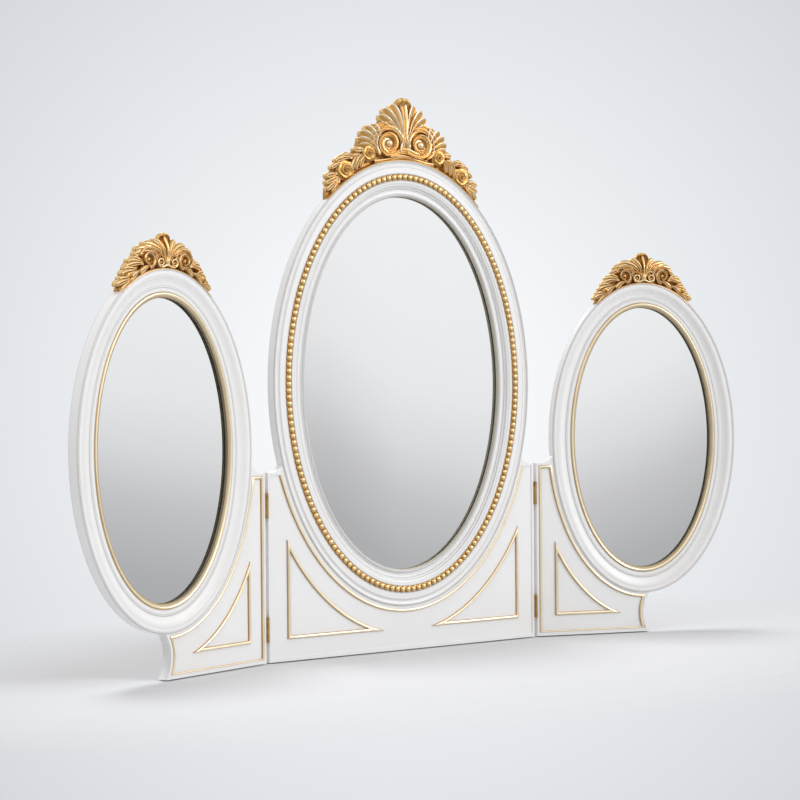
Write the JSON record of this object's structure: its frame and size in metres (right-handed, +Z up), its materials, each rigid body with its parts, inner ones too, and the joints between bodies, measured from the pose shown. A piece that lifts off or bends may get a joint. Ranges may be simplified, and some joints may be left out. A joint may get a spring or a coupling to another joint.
{
  "type": "folding oval vanity mirror",
  "caption": "Free-standing folding dressing-table mirror: hinged white panels with oval mirrors, gilt beading and carved gilt crests; the wings swing on brass butt hinges.",
  "frame": {"origin": "middle of the centre board's underside, on the surface that the mirror stands on", "axes": "+X to the viewer's right along the centre board, +Y to the back, +Z up"},
  "size_m": [1.4884, 0.1562, 1.0783],
  "materials": {
    "white_paint": "satin white paint on wood",
    "gilding": "gold leaf on carved wood",
    "brass": "plain brass",
    "mirror_glass": "silvered glass",
    "backing_board": "plain hardboard",
    "dowel_wood": "plain beech"
  },
  "bodies": {
    "centre": {"centre_backing": "backing_board", "centre_base": "white_paint", "centre_button_screws": "brass", "centre_crest": "gilding", "centre_crest_dowels": "dowel_wood", "centre_frame": "white_paint", "centre_frame_dowels": "dowel_wood", "centre_gilt_bead": "gilding", "centre_hinge_screws": "brass", "centre_mirror": "mirror_glass", "centre_pearl_beading": "gilding", "centre_triangle_left": "gilding", "centre_triangle_right": "gilding", "centre_turn_buttons": "brass", "left_lower_hinge_fixed_leaf": "brass", "left_lower_hinge_pin": "brass", "left_upper_hinge_fixed_leaf": "brass", "left_upper_hinge_pin": "brass", "right_lower_hinge_fixed_leaf": "brass", "right_lower_hinge_pin": "brass", "right_upper_hinge_fixed_leaf": "brass", "right_upper_hinge_pin": "brass"},
    "left_wing": {"left_wing_backing": "backing_board", "left_wing_base": "white_paint", "left_wing_button_screws": "brass", "left_wing_crest": "gilding", "left_wing_crest_dowels": "dowel_wood", "left_wing_frame": "white_paint", "left_wing_frame_dowels": "dowel_wood", "left_wing_gilt_bead": "gilding", "left_wing_gilt_slip": "gilding", "left_wing_hinge_screws": "brass", "left_wing_lower_hinge_leaf": "brass", "left_wing_mirror": "mirror_glass", "left_wing_triangle": "gilding", "left_wing_turn_buttons": "brass", "left_wing_upper_hinge_leaf": "brass"},
    "right_wing": {"right_wing_backing": "backing_board", "right_wing_base": "white_paint", "right_wing_button_screws": "brass", "right_wing_crest": "gilding", "right_wing_crest_dowels": "dowel_wood", "right_wing_frame": "white_paint", "right_wing_frame_dowels": "dowel_wood", "right_wing_gilt_bead": "gilding", "right_wing_gilt_slip": "gilding", "right_wing_hinge_screws": "brass", "right_wing_lower_hinge_leaf": "brass", "right_wing_mirror": "mirror_glass", "right_wing_triangle": "gilding", "right_wing_turn_buttons": "brass", "right_wing_upper_hinge_leaf": "brass"}
  },
  "joints": [
    {"name": "left_wing_swing", "type": "hinge", "parent": "centre", "child": "left_wing", "pos_m": [-0.31, -0.012, 0.17], "axis": [0, 0, 1], "range_deg": [-16.75, 103.25]},
    {"name": "right_wing_swing", "type": "hinge", "parent": "centre", "child": "right_wing", "pos_m": [0.31, -0.012, 0.17], "axis": [0, 0, -1], "range_deg": [-16.75, 103.25]}
  ]
}
